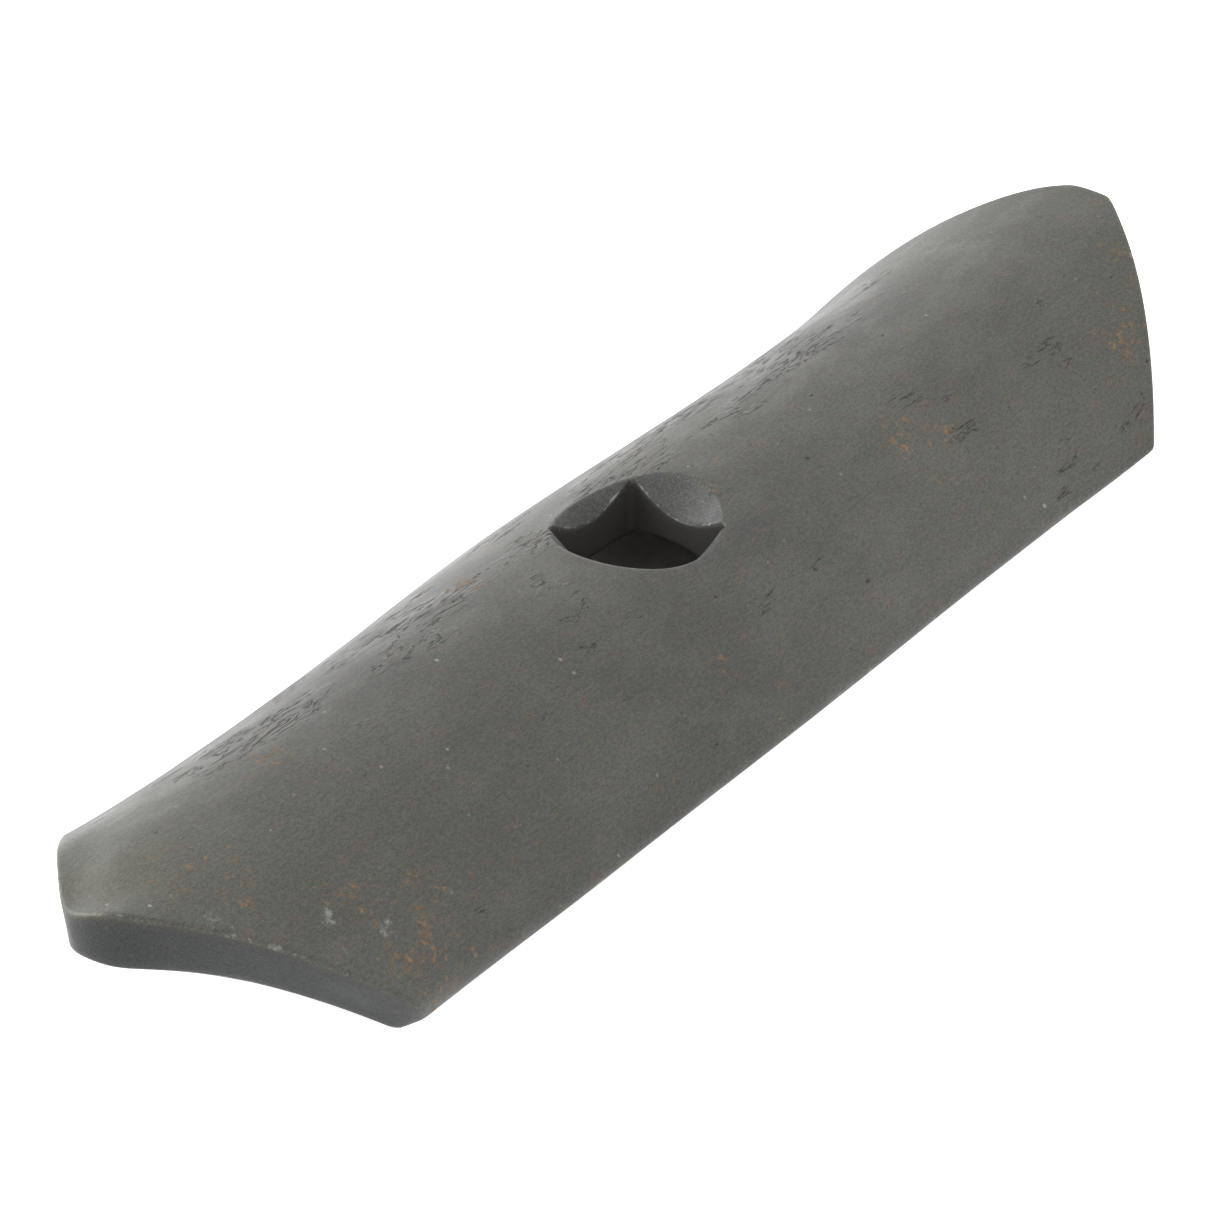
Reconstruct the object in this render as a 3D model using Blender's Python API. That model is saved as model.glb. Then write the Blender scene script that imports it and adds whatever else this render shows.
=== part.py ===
"""Reversible tillage point: one pressed steel bar, pointed at both ends, with a square bolt hole.

The bar is cropped while flat, its edges are rounded, it is pressed into a lengthwise arch, and the
hole is then punched and countersunk for a square-neck plough bolt. Metres, +Z up, +X along the bar.
The bar stands on its two long edges, with the crown of the arch on top.
"""
import math

import bmesh
import bpy
from mathutils import Matrix, Vector

# Flat blank
LENGTH = 0.2008            # nose to nose
SHOULDER_LENGTH = 0.1492   # between the corners of each long edge
BLANK_WIDTH = 0.0647       # across the bar before pressing
THICKNESS = 0.0071
NOSE_WIDTH = 0.0070        # flat left between the two crop lines
NOSE_CORNER = 0.0022       # rounding of the nose, seen from above
SHOULDER_CORNER = 0.0014   # rounding of the corners of the long edges
TOP_EDGE = 0.0012          # rolled edge on the outside
UNDER_EDGE = 0.0003        # broken edge on the inside

# Pressed arch, as the slope of the surface at a distance from the crown
FLANK_SLOPE = 66.0         # degrees, far out on the flank
CROWN_SPREAD = 0.0231      # distance over which the slope builds up
MID_SPREAD = 0.0040        # the crown is flatter by this much beside the hole
MID_REACH = 0.0275         # reach of the flatter crown along the bar
MID_DIP = 0.00066          # the crown is pressed down by this much at the hole
SLOPE_RISE = 8.85          # degrees, slope gained towards the shoulders
SLOPE_FALL = 9.67          # degrees, slope lost again towards the noses
SPREAD_RISE = 0.0014       # the crown widens towards the ends
CROWN_FALL = 0.00136       # the crown line falls towards the shoulders
CROWN_LIFT = 0.00086       # and flattens out again towards the noses

# Hole for an M14 plough bolt
SQUARE = 0.0150            # across the flats of the square
SQUARE_CORNER = 0.0009
SQUARE_TURN = -7.0         # degrees, the punch stands a little askew to the bar
RIM_DIAMETER = 0.0222      # countersink at the crown
SINK_ANGLE = 86.0          # degrees, included

# Rows of faces that let the blank bend
BEND_STEP = 0.0023
RUN_STEP = 0.0072


def clear_scene():
    for ob in list(bpy.data.objects):
        bpy.data.objects.remove(ob, do_unlink=True)


def collection(name):
    group = bpy.data.collections.new(name)
    bpy.context.scene.collection.children.link(group)
    return group


def steel():
    mat = bpy.data.materials.new("forged_steel")
    mat.use_nodes = True
    shader = mat.node_tree.nodes["Principled BSDF"]
    shader.inputs["Base Color"].default_value = (0.085, 0.085, 0.082, 1.0)
    shader.inputs["Metallic"].default_value = 0.6
    shader.inputs["Roughness"].default_value = 0.55
    return mat


def crop_corner(bm, side_x, side_y):
    """Shear one corner off the bar, from the shoulder to the nose."""
    shoulder = Vector((side_x * SHOULDER_LENGTH / 2, side_y * BLANK_WIDTH / 2, 0))
    nose = Vector((side_x * LENGTH / 2, side_y * NOSE_WIDTH / 2, 0))
    run = nose - shoulder
    normal = Vector((side_x * abs(run.y), side_y * abs(run.x), 0)).normalized()
    geom = bm.verts[:] + bm.edges[:] + bm.faces[:]
    cut = bmesh.ops.bisect_plane(bm, geom=geom, dist=1e-7, plane_co=shoulder,
                                 plane_no=normal, clear_outer=True)
    rim = [item for item in cut["geom_cut"] if isinstance(item, bmesh.types.BMEdge)]
    bmesh.ops.edgeloop_fill(bm, edges=rim)


def round_edges(bm, chosen, radius, segments):
    edges = [edge for edge in bm.edges if chosen(edge)]
    bmesh.ops.bevel(bm, geom=edges, offset=radius, segments=segments, profile=0.5,
                    affect="EDGES", clamp_overlap=True, material=-1)


def upright(edge):
    run = edge.verts[0].co - edge.verts[1].co
    return abs(run.z) > 0.9 * THICKNESS


def near_nose(edge):
    return upright(edge) and abs(edge.verts[0].co.x) > LENGTH / 2 - 0.003


def near_shoulder(edge):
    return upright(edge) and abs(edge.verts[0].co.y) > BLANK_WIDTH / 2 - 1e-5


def on_rim(edge, level):
    low = min(edge.verts[0].co.z, edge.verts[1].co.z)
    high = max(edge.verts[0].co.z, edge.verts[1].co.z)
    turned = len(edge.link_faces) == 2 and edge.calc_face_angle() > 0.5
    return abs(low - level) < 1e-6 and abs(high - level) < 1e-6 and turned


def rule_lines(bm, axis, half, step):
    """Cut rows across the blank so that it can bend."""
    count = max(2, 2 * round(half / step))
    for index in range(1, count):
        spot = Vector((0, 0, 0))
        spot[axis] = -half + 2 * half * index / count
        normal = Vector((0, 0, 0))
        normal[axis] = 1
        geom = bm.verts[:] + bm.edges[:] + bm.faces[:]
        bmesh.ops.bisect_plane(bm, geom=geom, dist=1e-7, plane_co=spot, plane_no=normal)


def flat_blank():
    """The cropped bar, flat, its outside face at z = 0 and its inside face below."""
    bm = bmesh.new()
    bmesh.ops.create_cube(bm, size=1.0)
    bmesh.ops.scale(bm, vec=(LENGTH, BLANK_WIDTH, THICKNESS), verts=bm.verts)
    bmesh.ops.translate(bm, vec=(0, 0, -THICKNESS / 2), verts=bm.verts)
    for side_x in (-1, 1):
        for side_y in (-1, 1):
            crop_corner(bm, side_x, side_y)
    round_edges(bm, near_nose, NOSE_CORNER, 3)
    round_edges(bm, near_shoulder, SHOULDER_CORNER, 2)
    round_edges(bm, lambda edge: on_rim(edge, 0.0), TOP_EDGE, 3)
    round_edges(bm, lambda edge: on_rim(edge, -THICKNESS), UNDER_EDGE, 2)
    rule_lines(bm, 1, BLANK_WIDTH / 2, BEND_STEP)
    rule_lines(bm, 0, LENGTH / 2, RUN_STEP)
    bmesh.ops.remove_doubles(bm, verts=bm.verts, dist=1e-6)
    loose = [face for face in bm.faces if len(face.verts) > 4]
    bmesh.ops.triangulate(bm, faces=loose)
    return bm


def mid_share(x):
    return math.exp(-(x / MID_REACH) ** 2)


def crown_height(x):
    share = (2 * x / SHOULDER_LENGTH) ** 2
    return -CROWN_FALL * share + CROWN_LIFT * share ** 2 - MID_DIP * mid_share(x)


def slope_at(x, reach):
    """Slope of the pressed surface, in radians, at a distance across from the crown."""
    share = (2 * x / SHOULDER_LENGTH) ** 2
    limit = math.radians(FLANK_SLOPE + SLOPE_RISE * share - SLOPE_FALL * share ** 2)
    spread = CROWN_SPREAD + SPREAD_RISE * share + MID_SPREAD * mid_share(x)
    ratio = reach / spread
    return limit * ratio / math.sqrt(1 + ratio * ratio)


def pressed(point):
    """Where the press moves a point of the flat blank."""
    across = 0.0
    fall = 0.0
    steps = 24
    for index in range(steps):
        slope = slope_at(point.x, point.y * (index + 0.5) / steps)
        across += math.cos(slope) * point.y / steps
        fall += math.sin(slope) * point.y / steps
    slope = slope_at(point.x, point.y)
    depth = -point.z
    y = across - depth * math.sin(slope)
    z = crown_height(point.x) - fall - depth * math.cos(slope)
    return Vector((point.x, y, z))


def add_object(bm, name, group):
    bmesh.ops.recalc_face_normals(bm, faces=bm.faces)
    mesh = bpy.data.meshes.new(name)
    bm.to_mesh(mesh)
    bm.free()
    ob = bpy.data.objects.new(name, mesh)
    group.objects.link(ob)
    return ob


def add_cutter(bm, name, group):
    ob = add_object(bm, name, group)
    ob.hide_render = True
    ob.display_type = "WIRE"
    return ob


def square_punch(crown, group):
    bm = bmesh.new()
    bmesh.ops.create_cube(bm, size=1.0)
    bmesh.ops.scale(bm, vec=(SQUARE, SQUARE, 6 * THICKNESS), verts=bm.verts)
    bmesh.ops.translate(bm, vec=(0, 0, crown), verts=bm.verts)
    corners = []
    for edge in bm.edges:
        if abs(edge.verts[0].co.z - edge.verts[1].co.z) > THICKNESS:
            corners.append(edge)
    bmesh.ops.bevel(bm, geom=corners, offset=SQUARE_CORNER, segments=3, profile=0.5,
                    affect="EDGES", clamp_overlap=True, material=-1)
    turn = Matrix.Rotation(math.radians(SQUARE_TURN), 3, "Z")
    bmesh.ops.rotate(bm, cent=(0, 0, 0), matrix=turn, verts=bm.verts)
    return add_cutter(bm, "square_punch", group)


def countersink(crown, group):
    """A cone that is wider above the crown and ends inside the square."""
    flare = math.tan(math.radians(SINK_ANGLE / 2))
    above = 0.004
    top = RIM_DIAMETER / 2 + above * flare
    tip = SQUARE * 0.3
    depth = (top - tip) / flare
    bm = bmesh.new()
    bmesh.ops.create_cone(bm, cap_ends=True, cap_tris=False, segments=72, radius1=tip,
                          radius2=top, depth=depth)
    bmesh.ops.translate(bm, vec=(0, 0, crown + above - depth / 2), verts=bm.verts)
    return add_cutter(bm, "countersink", group)


def cut_with(ob, cutter):
    mod = ob.modifiers.new(cutter.name, "BOOLEAN")
    mod.operation = "DIFFERENCE"
    mod.solver = "EXACT"
    mod.object = cutter


def main():
    clear_scene()
    parts = collection("reversible_tillage_point")
    cutters = collection("cutters")
    bm = flat_blank()
    for vert in bm.verts:
        vert.co = pressed(vert.co)
    rest = min(vert.co.z for vert in bm.verts)
    bmesh.ops.translate(bm, vec=(0, 0, -rest), verts=bm.verts)
    crown = crown_height(0.0) - rest
    point = add_object(bm, "reversible_point", parts)
    point.data.materials.append(steel())
    cut_with(point, countersink(crown, cutters))
    cut_with(point, square_punch(crown, cutters))


main()
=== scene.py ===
"""Reversible tillage point: the pressed bar in fine detail, its steel, the floor and the light.

The first end is the one at -X, which is sheared a little out of true; the second is at +X.
"""
import math

import bmesh
import bpy
from mathutils import Matrix, Vector, noise


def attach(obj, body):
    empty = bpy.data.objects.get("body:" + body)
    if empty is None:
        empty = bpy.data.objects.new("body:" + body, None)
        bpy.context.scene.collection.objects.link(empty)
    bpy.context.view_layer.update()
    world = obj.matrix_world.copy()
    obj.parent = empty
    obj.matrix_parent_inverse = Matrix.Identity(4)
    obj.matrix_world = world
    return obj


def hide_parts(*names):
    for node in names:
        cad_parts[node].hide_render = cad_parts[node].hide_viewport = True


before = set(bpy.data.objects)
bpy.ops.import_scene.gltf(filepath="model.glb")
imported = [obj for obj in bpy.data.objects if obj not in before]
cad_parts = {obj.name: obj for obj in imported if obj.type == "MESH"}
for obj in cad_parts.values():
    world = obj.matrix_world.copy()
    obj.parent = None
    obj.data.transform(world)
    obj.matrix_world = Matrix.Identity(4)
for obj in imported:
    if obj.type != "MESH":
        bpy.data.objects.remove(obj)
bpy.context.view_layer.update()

# ---------------------------------------------------------------- the bar, in metres, as it is made
LENGTH = 0.2008
SHOULDER = 0.0746          # half the distance between the corners of a long edge
HALF_WIDTH = 0.03235       # half the bar's width before pressing
THICK = 0.0071
NOSE = 0.0035              # half the flat that the shear leaves at each nose

FLANK_SLOPE = 66.0         # degrees, far out on the flank
CROWN_SPREAD = 0.0231      # distance over which the slope builds up
MID_SPREAD = 0.0040        # the crown is flatter by this much beside the hole
MID_REACH = 0.0275         # reach of the flatter crown along the bar
MID_DIP = 0.00066          # the crown is pressed down by this much at the hole
SLOPE_RISE = 8.85          # degrees, slope gained towards the shoulders
SLOPE_FALL = 9.67          # degrees, slope lost again towards the noses
SPREAD_RISE = 0.0014       # the crown widens towards the ends
CROWN_FALL = 0.00136       # the crown line falls towards the shoulders
CROWN_LIFT = 0.00086       # and flattens out again towards the noses
REST = 0.02203             # from the line of the crown down to the floor

SQUARE = 0.0075            # half the square
SQUARE_CORNER = 0.0009
SQUARE_TURN = math.radians(-7.0)
RIM = 0.0111               # countersink radius at the crown
SINK = math.tan(math.radians(43.0))

# rows of the fine sheet
RUNS = 300                 # along the bar
LANES = 100                # across it
EDGE_LANES = 7             # finer lanes at each long edge, in a band this wide
EDGE_BAND = 0.0030
END_RUNS = 8               # finer runs at each end, in a band this long
END_BAND = 0.0036
BLOCK_RUNS = 32            # runs and lanes left out round the hole, where rings take their place
BLOCK_LANES = 25
BLOCK_REACH = 0.0168       # half the width of that block
PLAIN = 0.024              # from here outwards the hole no longer moves the rows
MARKS = ("cut_face", "hole_wall", "sink_face", "edge")

# edges and wear
LONG_ROLL = 0.0015         # rounding of the long edges on the outside
END_ROLL = 0.0004          # rolled lip left by the shear at the first end
BEATEN = 0.0023            # the corner of the first nose is beaten down
KEEN_ROLL = 0.0004         # the lip at the second end, sheared with a newer blade
UNDER_ROLL = 0.0004        # broken edge on the inside
ASLANT = 0.80              # the crop runs aslant, so its edge is this much nearer than along the bar
SKEW = 0.0034              # the first end is sheared this much out of true
SHORT = 0.0003             # and its nose is this much shorter


def smooth(value, low, high):
    """Soft step from 0 to 1 as the value goes from low to high."""
    share = min(1.0, max(0.0, (value - low) / (high - low)))
    return share * share * (3.0 - 2.0 * share)


def spaced(index, count, half, fine, band):
    """Place of a row, with finer rows in a band along both edges."""
    if index < fine:
        return -half + band * (index / fine) ** 1.5
    if index > count - fine:
        return half - band * ((count - index) / fine) ** 1.5
    return -half + band + 2.0 * (half - band) * (index - fine) / (count - 2 * fine)


# ---------------------------------------------------------------- the pressed arch
def mid_share(x):
    """How far a place along the bar shares in the flatter crown beside the hole."""
    return math.exp(-(x / MID_REACH) ** 2)


def crown_line(x):
    """Height of the crown along the bar."""
    share = (x / SHOULDER) ** 2
    return REST - CROWN_FALL * share + CROWN_LIFT * share ** 2 - MID_DIP * mid_share(x)


def press_at(x):
    """Greatest slope and spread of the arch at a place along the bar."""
    share = (x / SHOULDER) ** 2
    limit = math.radians(FLANK_SLOPE + SLOPE_RISE * share - SLOPE_FALL * share ** 2)
    return limit, CROWN_SPREAD + SPREAD_RISE * share + MID_SPREAD * mid_share(x)


def pressed(x, reach, depth):
    """Where the press takes a point: reach across the flat bar, depth under its outside face."""
    limit, spread = press_at(x)
    steps = 16
    across = 0.0
    fall = 0.0
    for index in range(steps):
        ratio = reach * (index + 0.5) / steps / spread
        slope = limit * ratio / math.sqrt(1.0 + ratio * ratio)
        across += math.cos(slope)
        fall += math.sin(slope)
    ratio = reach / spread
    slope = limit * ratio / math.sqrt(1.0 + ratio * ratio)
    y = across * reach / steps - depth * math.sin(slope)
    z = crown_line(x) - fall * reach / steps - depth * math.cos(slope)
    return Vector((x, y, z))


def reach_for(x, y, depth):
    """The reach that the press brings to a wanted place across."""
    low = 0.0
    high = HALF_WIDTH
    want = abs(y)
    for _ in range(16):
        middle = (low + high) / 2.0
        if pressed(x, middle, depth).y < want:
            low = middle
        else:
            high = middle
    return math.copysign((low + high) / 2.0, y)


# ---------------------------------------------------------------- the sheared outline
def end_at(reach, side_x):
    """How far the bar runs at a place across it; the first end, at -X, is sheared out of true."""
    share = min(1.0, abs(reach) / HALF_WIDTH)
    slope = (LENGTH / 2.0 - SHOULDER) / (HALF_WIDTH - NOSE)
    crop = SHOULDER + slope * HALF_WIDTH * (1.0 - share)
    soft = 0.0011 if side_x < 0.0 else 0.00025 + 0.0011 * smooth(reach, 0.0, 0.004)
    nose = LENGTH / 2.0 - (SHORT if side_x < 0.0 else 0.0)
    gap = (crop - nose) / soft
    run = crop - soft * math.log1p(math.exp(min(40.0, gap)))
    if side_x < 0.0 < reach:
        run -= SKEW * smooth(reach, 0.002, 0.023)
    corner = 0.0002 if side_x > 0.0 else 0.0014
    edge = HALF_WIDTH * (1.0 - share)
    if edge < corner:
        turn = 1.0 - edge / corner
        run -= 0.55 * corner * (1.0 - math.sqrt(max(0.0, 1.0 - turn * turn)))
    return run


def roll(gap, radius):
    """Drop of a rounded edge at a distance from it."""
    if gap >= radius:
        return 0.0
    back = radius - max(0.0, gap)
    return radius - math.sqrt(radius * radius - back * back)


def outside_drop(x, reach):
    """How far rolled edges and wear lie under the plain outside of the arch."""
    side = HALF_WIDTH - abs(reach)
    end = (end_at(reach, x) - abs(x)) * ASLANT
    lip = KEEN_ROLL if x > 0.0 else END_ROLL
    worn = LONG_ROLL * (1.0 + 1.4 * smooth(-x, 0.040, 0.072) - 0.6 * smooth(x, 0.055, 0.072))
    drop = roll(side, worn) + roll(end, lip)
    if x < 0.0:
        beaten = smooth(reach, -0.0050, 0.0040) * (1.0 - smooth(reach, 0.0040, 0.0145))
        drop += BEATEN * beaten * (1.0 - smooth(end, -0.0005, 0.0090))
    return min(drop, 0.65 * THICK)


def inside_drop(x, reach):
    """The same on the inside, where only the edges are broken."""
    side = HALF_WIDTH - abs(reach)
    end = (end_at(reach, x) - abs(x)) * ASLANT
    return min(roll(side, UNDER_ROLL) + roll(end, UNDER_ROLL), 0.3 * THICK)


def unevenness(x, reach, seed):
    """The slow waves that rolling and pressing leave in the steel."""
    here = Vector((x / 0.031, reach / 0.022, seed))
    near = Vector((x / 0.009, reach / 0.007, seed + 5.0))
    return 0.00016 * noise.noise(here) + 0.00004 * noise.noise(near)


# ---------------------------------------------------------------- the punched hole
def sink_height(radius):
    """Height of the countersink's cone at a distance from its axis."""
    return crown_line(0.0) - (RIM - radius) / SINK


def rim_radius(angle):
    """Where the countersink meets the arch, in a direction."""
    low = 0.6 * RIM
    high = 1.1 * RIM
    for _ in range(18):
        middle = (low + high) / 2.0
        x = middle * math.cos(angle)
        y = middle * math.sin(angle)
        if outside_height(x, y) > sink_height(middle):
            low = middle
        else:
            high = middle
    return (low + high) / 2.0


def outside_height(x, y):
    """Height of the arch's outside over a place on the floor."""
    return pressed(x, reach_for(x, y, 0.0), 0.0).z


def square_radius(angle):
    """Distance out to the wall of the square, its corners rounded."""
    c = abs(math.cos(angle - SQUARE_TURN))
    s = abs(math.sin(angle - SQUARE_TURN))
    flat = SQUARE / max(c, s)
    centre = SQUARE - SQUARE_CORNER
    dot = centre * (c + s)
    inner = dot * dot - 2.0 * centre * centre + SQUARE_CORNER ** 2
    if inner > 0.0:
        arc = dot + math.sqrt(inner)
        if min(arc * c, arc * s) > centre:
            return arc
    return flat


def drawn_out(share):
    """How much of the sheared end's shape a row of the sheet takes, from the middle to the end."""
    if share > 0.95:
        before = smooth(0.95, 0.35, 1.0) * 0.95
        return 1.0 - (1.0 - share) * (1.0 - before) / 0.05
    return smooth(share, 0.35, 1.0) * share


def open_ring(bm, half):
    """The edges round the hole in the sheet, as far as it has been drawn in."""
    ring = []
    for edge in bm.edges:
        if len(edge.link_faces) == 1:
            if all(abs(vert.co.x) < half and abs(vert.co.y) < half for vert in edge.verts):
                ring.append(edge)
    return ring


def draw_ring(bm, place, cuts):
    """Extrude the ring round the hole to a new ring, with rows between them."""
    ring = open_ring(bm, 0.025)
    made = bmesh.ops.extrude_edge_only(bm, edges=ring)["geom"]
    fresh = [item for item in made if isinstance(item, bmesh.types.BMVert)]
    known = set(fresh)
    across = [edge for vert in fresh for edge in vert.link_edges
              if edge.other_vert(vert) not in known]
    for vert in fresh:
        vert.co = place(vert.co)
    if cuts:
        bmesh.ops.subdivide_edges(bm, edges=across, cuts=cuts)


def flat_sheet():
    """The bar's outline as one flat sheet, with rings of faces drawn in to the square hole."""
    bm = bmesh.new()
    bmesh.ops.create_grid(bm, x_segments=RUNS, y_segments=LANES, size=0.5)
    middle = []
    for face in bm.faces:
        spot = face.calc_center_median()
        if abs(spot.x) * RUNS < BLOCK_RUNS and abs(spot.y) * LANES < BLOCK_LANES:
            middle.append(face)
    bmesh.ops.delete(bm, geom=middle, context="FACES")
    for vert in bm.verts:
        run = round((vert.co.x + 0.5) * RUNS)
        lane = round((vert.co.y + 0.5) * LANES)
        along = spaced(run, RUNS, SHOULDER, END_RUNS, END_BAND)
        reach = spaced(lane, LANES, HALF_WIDTH, EDGE_LANES, EDGE_BAND)
        longer = (end_at(reach, along) - SHOULDER) * drawn_out(abs(along) / SHOULDER)
        vert.co = Vector((math.copysign(abs(along) + longer, along), reach, 0.0))
    rims = {}

    def at(extra, least):
        def place(co):
            angle = math.atan2(co.y, co.x)
            key = round(angle, 5)
            if key not in rims:
                rims[key] = rim_radius(angle)
            radius = max(rims[key] + extra, square_radius(angle) + least)
            return Vector((radius * math.cos(angle), radius * math.sin(angle), 0.0))
        return place

    def at_square(co):
        angle = math.atan2(co.y, co.x)
        radius = square_radius(angle)
        return Vector((radius * math.cos(angle), radius * math.sin(angle), 0.0))

    rings = ((0.0007, 0.0007, 6), (0.00025, 0.0003, 0), (0.00005, 0.0002, 0),
             (-0.00012, 0.00014, 0), (-0.0004, 0.00008, 0))
    for extra, least, cuts in rings:
        draw_ring(bm, at(extra, least), cuts)
    draw_ring(bm, at_square, 5)
    return bm


def fine_point():
    """The flat sheet given its thickness, then pressed."""
    bm = flat_sheet()
    bmesh.ops.recalc_face_normals(bm, faces=bm.faces)
    if bm.faces[0].normal.z < 0:
        bmesh.ops.reverse_faces(bm, faces=bm.faces)
    bmesh.ops.solidify(bm, geom=bm.faces[:], thickness=THICK)
    low = min(vert.co.z for vert in bm.verts)
    high = max(vert.co.z for vert in bm.verts)
    upright = []
    for edge in bm.edges:
        if abs(edge.verts[0].co.z - edge.verts[1].co.z) > 0.5 * THICK:
            upright.append(edge)
    bmesh.ops.subdivide_edges(bm, edges=upright, cuts=7)
    marks = {name: bm.verts.layers.float.new(name) for name in MARKS}
    for vert in bm.verts:
        x, y = vert.co.x, vert.co.y
        level = round((high - vert.co.z) / (high - low), 4)
        for name, value in zip(MARKS, surface_marks(x, y, level)):
            vert[marks[name]] = value
        vert.co = shaped(x, y, level)
        vert.co.z = max(0.0, vert.co.z)
    bmesh.ops.recalc_face_normals(bm, faces=bm.faces)
    mesh = bpy.data.meshes.new("pressed_point")
    bm.to_mesh(mesh)
    bm.free()
    mesh.shade_smooth()
    point = bpy.data.objects.new("pressed_point", mesh)
    bpy.context.scene.collection.objects.link(point)
    return point


def surface_marks(x, y, level):
    """Where a point lies: sheared face, wall of the square, countersink, and close to an edge."""
    radius = math.hypot(x, y)
    if radius < RIM + 0.0012:
        angle = math.atan2(y, x)
        wall = 1.0 - smooth(radius - square_radius(angle), 0.00002, 0.00012)
        gap = rim_radius(angle) - radius
        sink = smooth(gap, -0.0001, 0.0003) if level == 0.0 else 0.0
        near_rim = 0.62 * (1.0 - smooth(abs(gap), 0.0, 0.0005))
        near_wall = 1.0 - smooth(radius - square_radius(angle), 0.0, 0.0007)
        near_wall *= 0.25 + 0.75 * smooth(gap, 0.0, 0.0010)
        edge = max(near_rim, near_wall) if level == 0.0 else 0.0
        return 0.0, wall * smooth(level, 0.0, 0.2), sink, edge
    side = HALF_WIDTH - abs(y)
    end = (end_at(y, x) - abs(x)) * ASLANT
    onto = 1.0 - smooth(min(side, end), 0.00002, 0.0002)
    lip = 0.75 * (1.0 - smooth(end, 0.0002, 0.0012))
    long_edge = 0.60 * (1.0 - smooth(side, 0.0002, 0.0012))
    edge = max(lip, long_edge) if level in (0.0, 1.0) else 0.0
    return onto * smooth(level, 0.0, 0.25), 0.0, 0.0, edge


def soft_low(a, b, width):
    """The lower of two heights, with the corner between them rounded."""
    gap = max(0.0, width - abs(a - b))
    return min(a, b) - gap * gap / (4.0 * width)


def shaped(x, y, level):
    """Final place of a point of the thick flat sheet; level is 0 outside and 1 inside."""
    radius = math.hypot(x, y)
    on_wall = level < 1.0 and radius < 1.45 * SQUARE
    if radius < RIM + 0.0009 and (level == 0.0 or on_wall):
        top = soft_low(outside_height(x, y), sink_height(radius), 0.0003)
        bottom = pressed(x, reach_for(x, y, THICK), THICK).z
        return Vector((x, y, top + (bottom - top) * level))
    if level == 0.0:
        share = smooth(radius, RIM + 0.0005, BLOCK_REACH)
        reach = y
        if radius < PLAIN:
            reach = (1.0 - share) * reach_for(x, y, 0.0) + share * y
    elif level == 1.0:
        wide = max(abs(x), abs(y))
        reach = y
        if wide < BLOCK_REACH:
            share = min(1.0, max(0.0, (wide - SQUARE) / (BLOCK_REACH - SQUARE)))
            reach = (1.0 - share) * reach_for(x, y, THICK) + share * y
    else:
        reach = y
    outside = outside_drop(x, reach) + unevenness(x, reach, 1.0)
    inside = THICK - inside_drop(x, reach) + unevenness(x, reach, 9.0)
    return pressed(x, reach, outside + (inside - outside) * level)


# ---------------------------------------------------------------- node helpers
def add(tree, kind, **settings):
    node = tree.nodes.new(kind)
    for key, value in settings.items():
        setattr(node, key, value)
    return node


def feed(tree, target, source):
    """Put a socket or a plain value into an input."""
    if isinstance(source, bpy.types.NodeSocket):
        tree.links.new(source, target)
    else:
        target.default_value = source


def maths(tree, operation, first, second=0.0, clamp=False):
    node = add(tree, "ShaderNodeMath", operation=operation, use_clamp=clamp)
    feed(tree, node.inputs[0], first)
    feed(tree, node.inputs[1], second)
    return node.outputs[0]


def ramp(tree, value, low, high, start=0.0, end=1.0):
    """Soft step from start to end as the value goes from low to high."""
    node = add(tree, "ShaderNodeMapRange", interpolation_type="SMOOTHSTEP")
    for name, source in (("Value", value), ("From Min", low), ("From Max", high),
                         ("To Min", start), ("To Max", end)):
        feed(tree, node.inputs[name], source)
    return node.outputs["Result"]


def blend(tree, share, first, second):
    node = add(tree, "ShaderNodeMix", data_type="RGBA")
    feed(tree, node.inputs[0], share)
    feed(tree, node.inputs[6], first)
    feed(tree, node.inputs[7], second)
    return node.outputs[2]


def stretched(tree, place, factors):
    """Place with each axis scaled, so that a pattern is drawn out along the bar."""
    node = add(tree, "ShaderNodeVectorMath", operation="MULTIPLY")
    feed(tree, node.inputs[0], place)
    feed(tree, node.inputs[1], factors)
    return node.outputs[0]


def cloud(tree, place, scale, detail=3.0, rough=0.55, twist=0.0):
    node = add(tree, "ShaderNodeTexNoise")
    feed(tree, node.inputs["Vector"], place)
    node.inputs["Scale"].default_value = scale
    node.inputs["Detail"].default_value = detail
    node.inputs["Roughness"].default_value = rough
    node.inputs["Distortion"].default_value = twist
    return node.outputs["Fac"]


def new_group(name, takes, gives):
    tree = bpy.data.node_groups.new(name, "ShaderNodeTree")
    for title, kind in takes:
        tree.interface.new_socket(name=title, in_out="INPUT", socket_type=kind)
    for title, kind in gives:
        tree.interface.new_socket(name=title, in_out="OUTPUT", socket_type=kind)
    inside = add(tree, "NodeGroupInput")
    outside = add(tree, "NodeGroupOutput")
    return tree, inside.outputs, outside.inputs


def use_group(tree, group, **given):
    node = add(tree, "ShaderNodeGroup")
    node.node_tree = group
    for name, source in given.items():
        feed(tree, node.inputs[name], source)
    return node.outputs


FLOAT = "NodeSocketFloat"
VECTOR = "NodeSocketVector"
COLOUR = "NodeSocketColor"


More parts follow.
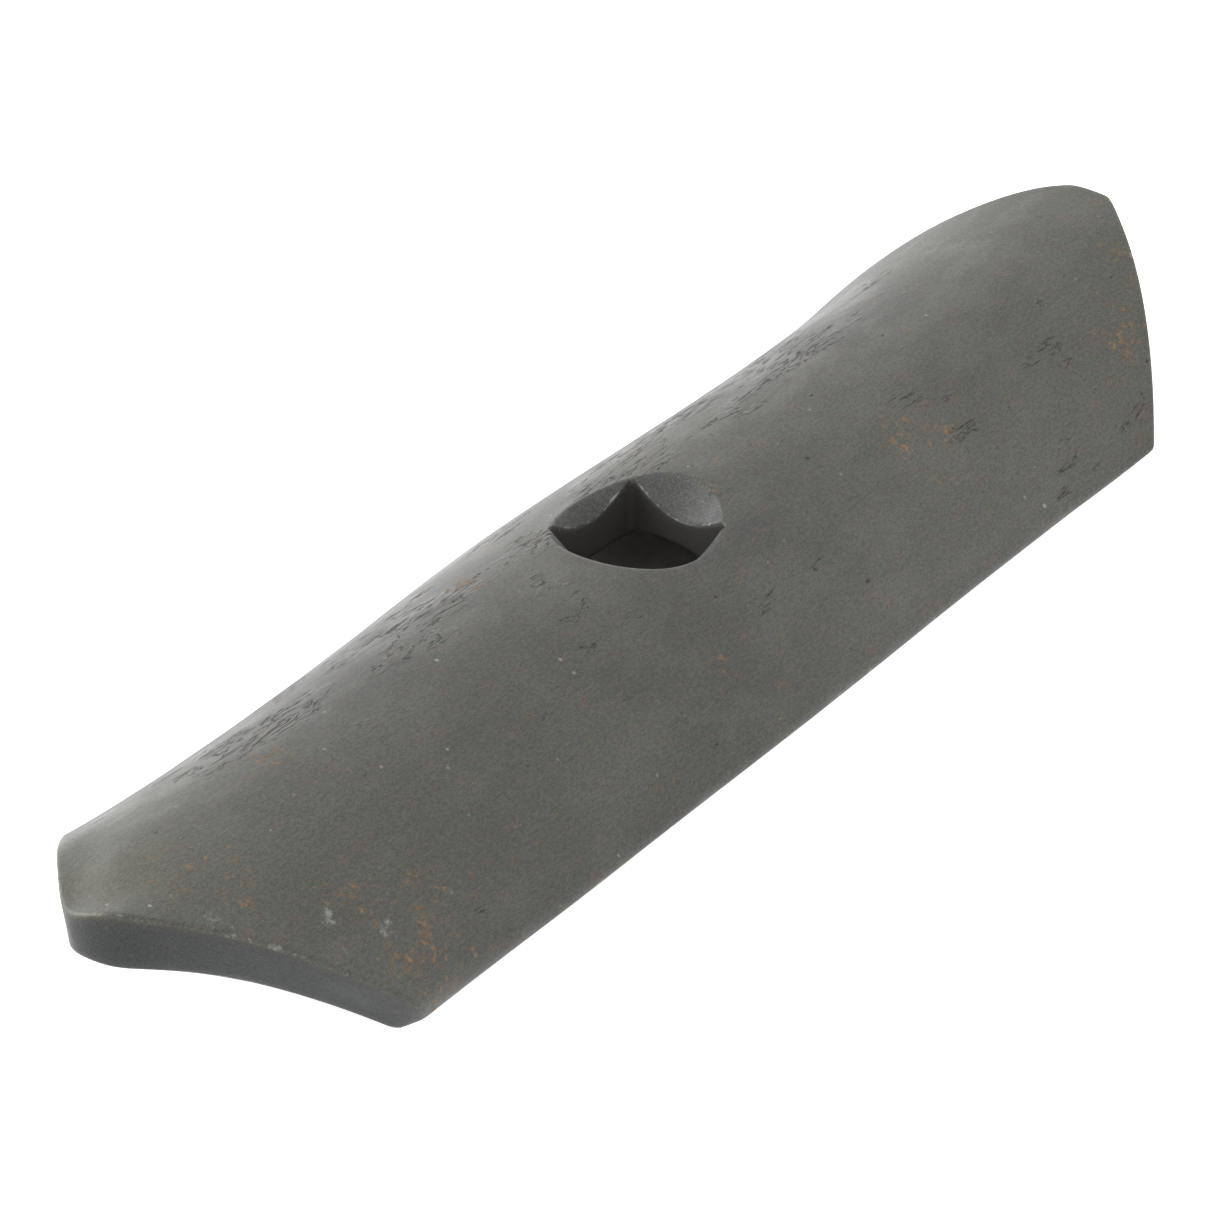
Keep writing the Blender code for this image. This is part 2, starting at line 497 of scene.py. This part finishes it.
# ---------------------------------------------------------------- effects of making and weather
def oxide_grain():
    """Fine orange-peel grain of forging oxide, drawn out a little along the bar."""
    tree, takes, gives = new_group("oxide_grain", [("Place", VECTOR), ("Size", FLOAT)],
                                   [("Height", FLOAT), ("Tone", FLOAT)])
    sized = add(tree, "ShaderNodeVectorMath", operation="SCALE")
    feed(tree, sized.inputs[0], takes["Place"])
    feed(tree, sized.inputs["Scale"], takes["Size"])
    drawn = stretched(tree, sized.outputs[0], (0.45, 1.0, 1.0))
    fine = cloud(tree, drawn, 3600.0, 2.0, 0.6)
    coarse = cloud(tree, drawn, 1100.0, 2.0, 0.5)
    speckle = cloud(tree, sized.outputs[0], 6500.0, 2.0, 0.7)
    height = maths(tree, "ADD", maths(tree, "MULTIPLY", fine, 0.6),
                   maths(tree, "MULTIPLY", coarse, 0.4))
    feed(tree, gives["Height"], height)
    mixed = maths(tree, "ADD", maths(tree, "MULTIPLY", speckle, 0.6),
                  maths(tree, "MULTIPLY", fine, 0.4))
    feed(tree, gives["Tone"], ramp(tree, mixed, 0.30, 0.70))
    return tree


def scale_creases():
    """Short dark laps in the rolled skin; they run along the bar and gather on the crown."""
    tree, takes, gives = new_group("scale_creases", [("Place", VECTOR), ("Amount", FLOAT)],
                                   [("Mask", FLOAT), ("Height", FLOAT)])
    drawn = stretched(tree, takes["Place"], (0.20, 1.0, 1.0))
    strands = cloud(tree, drawn, 560.0, 4.0, 0.6, 0.8)
    away = maths(tree, "ABSOLUTE", maths(tree, "SUBTRACT", strands, 0.5))
    line = ramp(tree, away, 0.0, 0.028, 1.0, 0.0)
    wander = cloud(tree, stretched(tree, takes["Place"], (0.40, 1.0, 1.0)), 190.0, 4.0, 0.65)
    edge = maths(tree, "SUBTRACT", 0.72, maths(tree, "MULTIPLY", takes["Amount"], 0.26))
    kept = ramp(tree, wander, edge, maths(tree, "ADD", edge, 0.05))
    mask = maths(tree, "MULTIPLY", line, kept)
    feed(tree, gives["Mask"], mask)
    lap = maths(tree, "MULTIPLY", ramp(tree, strands, 0.47, 0.56), maths(tree, "MULTIPLY", kept, 0.6))
    feed(tree, gives["Height"], maths(tree, "SUBTRACT", lap, mask))
    return tree


def small_pits():
    """Little dents and pits where scale was pressed in and fell out."""
    tree, takes, gives = new_group("small_pits", [("Place", VECTOR), ("Amount", FLOAT)],
                                   [("Mask", FLOAT)])
    cells = add(tree, "ShaderNodeTexVoronoi")
    torn = add(tree, "ShaderNodeTexNoise")
    feed(tree, torn.inputs["Vector"], takes["Place"])
    torn.inputs["Scale"].default_value = 1500.0
    shift = add(tree, "ShaderNodeVectorMath", operation="MULTIPLY_ADD")
    feed(tree, shift.inputs[0], torn.outputs["Color"])
    shift.inputs[1].default_value = (0.0007, 0.0007, 0.0007)
    feed(tree, shift.inputs[2], takes["Place"])
    feed(tree, cells.inputs["Vector"], stretched(tree, shift.outputs[0], (0.4, 1.0, 1.0)))
    cells.inputs["Scale"].default_value = 700.0
    size = add(tree, "ShaderNodeSeparateColor")
    feed(tree, size.inputs[0], cells.outputs["Color"])
    chosen = maths(tree, "GREATER_THAN", maths(tree, "ADD", size.outputs[0], takes["Amount"]), 1.0)
    reach = maths(tree, "ADD", 0.06, maths(tree, "MULTIPLY", size.outputs[1], 0.16))
    dent = ramp(tree, cells.outputs["Distance"], maths(tree, "MULTIPLY", reach, 0.5), reach, 1.0, 0.0)
    feed(tree, gives["Mask"], maths(tree, "MULTIPLY", dent, chosen))
    return tree


def rust_spots():
    """Orange specks of young rust, gathered where the oxide is broken."""
    tree, takes, gives = new_group("rust_spots", [("Place", VECTOR), ("Amount", FLOAT)],
                                   [("Mask", FLOAT), ("Colour", COLOUR)])
    fine = cloud(tree, takes["Place"], 1100.0, 3.0, 0.66)
    broad = cloud(tree, takes["Place"], 260.0, 2.0, 0.5)
    blots = maths(tree, "ADD", maths(tree, "MULTIPLY", fine, 0.7), maths(tree, "MULTIPLY", broad, 0.3))
    edge = maths(tree, "SUBTRACT", 0.68, maths(tree, "MULTIPLY", takes["Amount"], 0.15))
    feed(tree, gives["Mask"], ramp(tree, blots, edge, maths(tree, "ADD", edge, 0.12)))
    hue = ramp(tree, cloud(tree, takes["Place"], 900.0, 2.0), 0.35, 0.65)
    feed(tree, gives["Colour"],
         blend(tree, hue, (0.100, 0.058, 0.026, 1.0), (0.210, 0.115, 0.045, 1.0)))
    return tree


def pale_flecks():
    """Bare bright points and dust caught in the skin."""
    tree, takes, gives = new_group("pale_flecks", [("Place", VECTOR), ("Amount", FLOAT)],
                                   [("Mask", FLOAT)])
    cells = add(tree, "ShaderNodeTexVoronoi")
    feed(tree, cells.inputs["Vector"], takes["Place"])
    cells.inputs["Scale"].default_value = 460.0
    size = add(tree, "ShaderNodeSeparateColor")
    feed(tree, size.inputs[0], cells.outputs["Color"])
    chosen = maths(tree, "GREATER_THAN", maths(tree, "ADD", size.outputs[0], takes["Amount"]), 1.0)
    reach = maths(tree, "ADD", 0.05, maths(tree, "MULTIPLY", size.outputs[1], 0.13))
    point = ramp(tree, cells.outputs["Distance"], maths(tree, "MULTIPLY", reach, 0.4), reach, 1.0, 0.0)
    strength = maths(tree, "ADD", 0.3, maths(tree, "MULTIPLY", size.outputs[2], 0.7))
    shown = maths(tree, "MULTIPLY", point, chosen)
    feed(tree, gives["Mask"], maths(tree, "MULTIPLY", shown, strength))
    return tree


def worn_edge_and_glint():
    """Bright, ragged metal along an edge: partly worn bare steel, partly a painted highlight where the
    edge catches the light.
    """
    tree, takes, gives = new_group("worn_edge_and_glint", [("Place", VECTOR), ("Edge", FLOAT)],
                                   [("Mask", FLOAT)])
    tatters = cloud(tree, takes["Place"], 760.0, 4.0, 0.75)
    rubbed_and_glint = cloud(tree, takes["Place"], 95.0, 2.0, 0.5)
    push = maths(tree, "MULTIPLY", maths(tree, "ADD", tatters, rubbed_and_glint), 1.6)
    total = maths(tree, "ADD", takes["Edge"], maths(tree, "SUBTRACT", push, 1.6))
    feed(tree, gives["Mask"], ramp(tree, total, 0.75, 1.15))
    return tree


def slow_tone():
    """Slow change from darker to lighter oxide over the bar."""
    tree, takes, gives = new_group("slow_tone", [("Place", VECTOR)],
                                   [("Tone", FLOAT), ("Patch", FLOAT), ("Warm", FLOAT)])
    drawn = stretched(tree, takes["Place"], (0.5, 1.0, 1.0))
    feed(tree, gives["Tone"], ramp(tree, cloud(tree, drawn, 45.0, 3.0, 0.5), 0.3, 0.7))
    feed(tree, gives["Patch"], ramp(tree, cloud(tree, drawn, 170.0, 4.0, 0.6), 0.42, 0.66))
    feed(tree, gives["Warm"], ramp(tree, cloud(tree, drawn, 620.0, 4.0, 0.7), 0.50, 0.74, 0.0, 0.75))
    return tree


def near_place(tree, place, centre, radius):
    """How near a point of the bar is to a chosen place on it."""
    gap = add(tree, "ShaderNodeVectorMath", operation="DISTANCE")
    feed(tree, gap.inputs[0], place)
    gap.inputs[1].default_value = centre
    return ramp(tree, gap.outputs["Value"], radius * 0.3, radius, 1.0, 0.0)


def strongest(tree, values):
    """The greatest of several masks."""
    best = values[0]
    for value in values[1:]:
        best = maths(tree, "MAXIMUM", best, value)
    return best


def attribute(tree, name):
    return add(tree, "ShaderNodeAttribute", attribute_name=name).outputs["Fac"]


# ---------------------------------------------------------------- materials
def new_material(name):
    mat = bpy.data.materials.new(name)
    mat.use_nodes = True
    tree = mat.node_tree
    return mat, tree, tree.nodes["Principled BSDF"]


def forged_steel():
    """Dark forging oxide, with creases, rust, pale flecks and bare sheared steel at the ends; painted
    shade under the sheared lips and a painted highlight mixed into the worn edges.
    """
    mat, tree, shader = new_material("forged_steel")
    place = add(tree, "ShaderNodeTexCoord").outputs["Object"]
    axes = add(tree, "ShaderNodeSeparateXYZ")
    feed(tree, axes.inputs[0], place)
    cut = attribute(tree, "cut_face")
    hole = attribute(tree, "hole_wall")
    sink = attribute(tree, "sink_face")
    edge = attribute(tree, "edge")

    out_along = maths(tree, "ABSOLUTE", axes.outputs["X"])
    to_end = ramp(tree, out_along, 0.045, 0.090)
    crown = maths(tree, "MULTIPLY", ramp(tree, axes.outputs["Y"], -0.004, 0.006),
                  ramp(tree, out_along, 0.045, 0.085, 1.0, 0.35))
    crown = maths(tree, "MULTIPLY", crown, ramp(tree, axes.outputs["Y"], 0.012, 0.021, 1.0, 0.6))
    # where rust has taken hold, where scale was pressed in, and where the skin is scuffed pale
    rusty = strongest(tree, [
        near_place(tree, place, (-0.070, -0.021, 0.010), 0.013),
        near_place(tree, place, (-0.075, -0.016, 0.016), 0.008),
        near_place(tree, place, (-0.088, -0.005, 0.021), 0.011),
        near_place(tree, place, (-0.065, 0.003, 0.021), 0.004),
        near_place(tree, place, (-0.023, 0.007, 0.020), 0.006),
        near_place(tree, place, (-0.011, -0.019, 0.013), 0.004),
        near_place(tree, place, (0.011, -0.004, 0.021), 0.004),
        near_place(tree, place, (0.040, -0.013, 0.017), 0.011),
        near_place(tree, place, (0.081, -0.016, 0.015), 0.008),
        near_place(tree, place, (0.092, -0.009, 0.019), 0.005)])
    pitted = strongest(tree, [
        near_place(tree, place, (0.056, -0.014, 0.016), 0.014),
        near_place(tree, place, (0.073, -0.021, 0.011), 0.009)])
    scuffed = strongest(tree, [
        near_place(tree, place, (-0.080, -0.016, 0.016), 0.003),
        near_place(tree, place, (-0.074, -0.019, 0.012), 0.003),
        near_place(tree, place, (-0.082, -0.019, 0.013), 0.003),
        near_place(tree, place, (-0.092, -0.011, 0.020), 0.004)])

    # the crown at the first nose is more olive, and the top of its sheared face is darker
    olive = near_place(tree, place, (-0.093, 0.002, 0.021), 0.011)
    shaded = maths(tree, "MULTIPLY", near_place(tree, place, (-0.100, -0.001, 0.0195), 0.016),
                   ramp(tree, axes.outputs["Z"], 0.0140, 0.0190))
    shaded = maths(tree, "MULTIPLY", maths(tree, "MULTIPLY", shaded, cut), 0.40)

    grain = use_group(tree, oxide_grain(), Place=place, Size=1.0)
    slow = use_group(tree, slow_tone(), Place=place)
    creases = use_group(tree, scale_creases(), Place=place,
                        Amount=strongest(tree, [crown, maths(tree, "MULTIPLY", pitted, 0.7), 0.43]))
    pits = use_group(tree, small_pits(), Place=place,
                     Amount=maths(tree, "ADD", 0.07, maths(tree, "MULTIPLY", pitted, 0.25)))
    rust = use_group(tree, rust_spots(), Place=place,
                     Amount=maths(tree, "ADD", 0.30, maths(tree, "MULTIPLY", rusty, 0.68)))
    flecks = use_group(tree, pale_flecks(), Place=place,
                       Amount=maths(tree, "ADD", 0.15, maths(tree, "MULTIPLY", to_end, 0.04)))
    # the edge mark gives worn bare steel and also a painted highlight along the rim, the lips and the
    # long edges; the scuffs are real wear
    rubbed_and_glint = maths(tree, "MAXIMUM", edge, maths(tree, "MULTIPLY", scuffed, 0.72))
    worn = use_group(tree, worn_edge_and_glint(), Place=place, Edge=rubbed_and_glint)

    skin = blend(tree, slow["Tone"], (0.023, 0.023, 0.0195, 1.0), (0.034, 0.034, 0.0265, 1.0))
    skin = blend(tree, maths(tree, "MULTIPLY", slow["Patch"], 0.35), skin, (0.039, 0.039, 0.031, 1.0))
    skin = blend(tree, maths(tree, "MULTIPLY", to_end, 0.5), skin, (0.032, 0.032, 0.023, 1.0))
    skin = blend(tree, slow["Warm"], skin, (0.046, 0.031, 0.017, 1.0))
    skin = blend(tree, maths(tree, "MULTIPLY", olive, 0.6), skin, (0.040, 0.040, 0.024, 1.0))
    skin = blend(tree, maths(tree, "MULTIPLY", cut, 0.85), skin, (0.017, 0.019, 0.021, 1.0))
    skin = blend(tree, maths(tree, "MULTIPLY", sink, 0.7), skin, (0.032, 0.033, 0.033, 1.0))
    # painted shadow: a near-black band across the top of the sheared face, where the rolled lip shades
    # it
    part_cut = maths(tree, "MULTIPLY", cut, maths(tree, "SUBTRACT", 1.0, cut))
    painted_lip_shadow = maths(tree, "MULTIPLY", part_cut, 2.6)
    skin = blend(tree, painted_lip_shadow, skin, (0.009, 0.009, 0.009, 1.0))
    skin = blend(tree, shaded, skin, (0.007, 0.008, 0.009, 1.0))
    grey = ramp(tree, grain["Tone"], 0.0, 1.0, 0.55, 1.40)
    shade = add(tree, "ShaderNodeVectorMath", operation="SCALE")
    feed(tree, shade.inputs[0], skin)
    feed(tree, shade.inputs["Scale"], grey)
    bare = strongest(tree, [cut, hole, sink])
    open_skin = maths(tree, "SUBTRACT", 1.0, bare, True)
    dark = maths(tree, "MULTIPLY", maths(tree, "MAXIMUM", creases["Mask"], pits["Mask"]), open_skin)
    colour = blend(tree, maths(tree, "MULTIPLY", dark, 0.75), shade.outputs[0],
                   (0.013, 0.009, 0.007, 1.0))
    colour = blend(tree, maths(tree, "MULTIPLY", rust["Mask"], 0.6), colour, rust["Colour"])
    colour = blend(tree, flecks["Mask"], colour, (0.13, 0.13, 0.115, 1.0))
    # bright edges: worn bare steel together with a painted highlight
    colour = blend(tree, maths(tree, "MULTIPLY", worn["Mask"], 0.7), colour, (0.17, 0.175, 0.17, 1.0))
    colour = blend(tree, hole, colour, (0.014, 0.012, 0.010, 1.0))
    feed(tree, shader.inputs["Base Color"], colour)

    low_edge = ramp(tree, axes.outputs["Z"], 0.0005, 0.0075, 0.34, 0.0)
    metal = maths(tree, "SUBTRACT", 0.30, maths(tree, "MULTIPLY", hole, 0.30))
    more = maths(tree, "MAXIMUM", maths(tree, "MULTIPLY", cut, 0.22), low_edge)
    metal = maths(tree, "ADD", metal, more)
    feed(tree, shader.inputs["Metallic"], metal)
    gloss = ramp(tree, maths(tree, "ADD", maths(tree, "MULTIPLY", grain["Tone"], 0.5),
                             maths(tree, "MULTIPLY", slow["Patch"], 0.5)), 0.0, 1.0, 0.52, 0.40)
    dull = maths(tree, "MAXIMUM", dark, rust["Mask"])
    rough = maths(tree, "ADD", gloss, maths(tree, "MULTIPLY", dull, 0.35))
    rough = maths(tree, "SUBTRACT", rough, maths(tree, "MULTIPLY", worn["Mask"], 0.12))
    rough = maths(tree, "ADD", rough, maths(tree, "MULTIPLY", sink, 0.15))
    rough = maths(tree, "ADD", rough, maths(tree, "MULTIPLY", hole, 0.3), True)
    feed(tree, shader.inputs["Roughness"], rough)

    height = maths(tree, "MULTIPLY", grain["Height"], 0.00004)
    height = maths(tree, "ADD", height, maths(tree, "MULTIPLY", creases["Height"],
                                              maths(tree, "MULTIPLY", open_skin, 0.00009)))
    height = maths(tree, "SUBTRACT", height, maths(tree, "MULTIPLY", pits["Mask"], 0.00006))
    height = maths(tree, "ADD", height, maths(tree, "MULTIPLY", rust["Mask"], 0.00002))
    bump = add(tree, "ShaderNodeBump")
    bump.inputs["Strength"].default_value = 1.0
    bump.inputs["Distance"].default_value = 1.0
    feed(tree, bump.inputs["Height"], height)
    feed(tree, shader.inputs["Normal"], bump.outputs["Normal"])
    return mat


def pale_floor():
    """White floor lit from below, which leaves almost no shadow."""
    mat, tree, shader = new_material("pale_floor")
    place = add(tree, "ShaderNodeTexCoord").outputs["Object"]
    fibre = cloud(tree, place, 900.0, 3.0, 0.6)
    feed(tree, shader.inputs["Base Color"],
         blend(tree, fibre, (0.62, 0.62, 0.62, 1.0), (0.66, 0.66, 0.66, 1.0)))
    shader.inputs["Roughness"].default_value = 0.9
    shader.inputs["Emission Color"].default_value = (1.0, 1.0, 1.0, 1.0)
    shader.inputs["Emission Strength"].default_value = 0.80
    return mat


def grey_card():
    mat, tree, shader = new_material("grey_card")
    place = add(tree, "ShaderNodeTexCoord").outputs["Object"]
    nap = cloud(tree, place, 1400.0, 3.0, 0.6)
    feed(tree, shader.inputs["Base Color"],
         blend(tree, nap, (0.48, 0.43, 0.40, 1.0), (0.64, 0.59, 0.56, 1.0)))
    shader.inputs["Roughness"].default_value = 0.95
    return mat


# ---------------------------------------------------------------- floor, light, camera
def floor():
    bm = bmesh.new()
    bmesh.ops.create_grid(bm, x_segments=2, y_segments=2, size=3.0)
    mesh = bpy.data.meshes.new("floor")
    bm.to_mesh(mesh)
    bm.free()
    ob = bpy.data.objects.new("floor", mesh)
    bpy.context.scene.collection.objects.link(ob)
    ob.data.materials.append(pale_floor())


def card():
    """Grey card on the floor under the arch; it keeps the bright floor out of the hole."""
    bm = bmesh.new()
    bmesh.ops.create_grid(bm, x_segments=1, y_segments=1, size=0.5)
    bmesh.ops.scale(bm, vec=(0.110, 0.039, 1.0), verts=bm.verts)
    bmesh.ops.translate(bm, vec=(0.010, 0.0, 0.0004), verts=bm.verts)
    mesh = bpy.data.meshes.new("card")
    bm.to_mesh(mesh)
    bm.free()
    ob = bpy.data.objects.new("card", mesh)
    bpy.context.scene.collection.objects.link(ob)
    ob.data.materials.append(grey_card())


def soft_box(name, place, aim, width, height, power):
    light = bpy.data.lights.new(name, "AREA")
    light.shape = "RECTANGLE"
    light.size = width
    light.size_y = height
    light.energy = power
    ob = bpy.data.objects.new(name, light)
    bpy.context.scene.collection.objects.link(ob)
    ob.location = place
    ob.rotation_mode = "QUATERNION"
    ob.rotation_quaternion = (Vector(aim) - Vector(place)).to_track_quat("-Z", "Y")


def studio():
    """Even white light all round and one soft box behind, for the sheen on the crown."""
    world = bpy.data.worlds.new("studio")
    bpy.context.scene.world = world
    world.use_nodes = True
    sky = world.node_tree.nodes["Background"]
    sky.inputs["Color"].default_value = (1.0, 1.0, 1.0, 1.0)
    sky.inputs["Strength"].default_value = 1.9
    soft_box("behind", (-0.35, 1.10, 0.55), (0.0, 0.0, 0.0), 1.2, 0.6, 16.0)
    bpy.context.scene.view_settings.view_transform = "Standard"


def camera():
    """Long lens from the side and above, turned a little about its own line of sight."""
    turn, lift, lean = (math.radians(value) for value in (-55.6, 30.91, 0.66))
    back = Vector((math.sin(turn) * math.cos(lift), -math.cos(turn) * math.cos(lift), math.sin(lift)))
    right = Vector((0.0, 0.0, 1.0)).cross(back).normalized()
    up = back.cross(right)
    place = back * 0.6879 - right * 0.0033 - up * 0.0110 + Vector((0.0, 0.0, REST))
    side = right * math.cos(lean) + up * math.sin(lean)
    top = up * math.cos(lean) - right * math.sin(lean)
    data = bpy.data.cameras.new("camera")
    data.sensor_width = 36.0
    data.lens = 177.92
    data.clip_start = 0.05
    data.clip_end = 20.0
    ob = bpy.data.objects.new("camera", data)
    bpy.context.scene.collection.objects.link(ob)
    turned = Matrix((side, top, back)).transposed().to_4x4()
    turned.translation = place
    ob.matrix_world = turned
    bpy.context.scene.camera = ob


point = fine_point()
point.data.materials.append(forged_steel())
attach(point, "root")
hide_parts("reversible_point")
floor()
card()
studio()
camera()
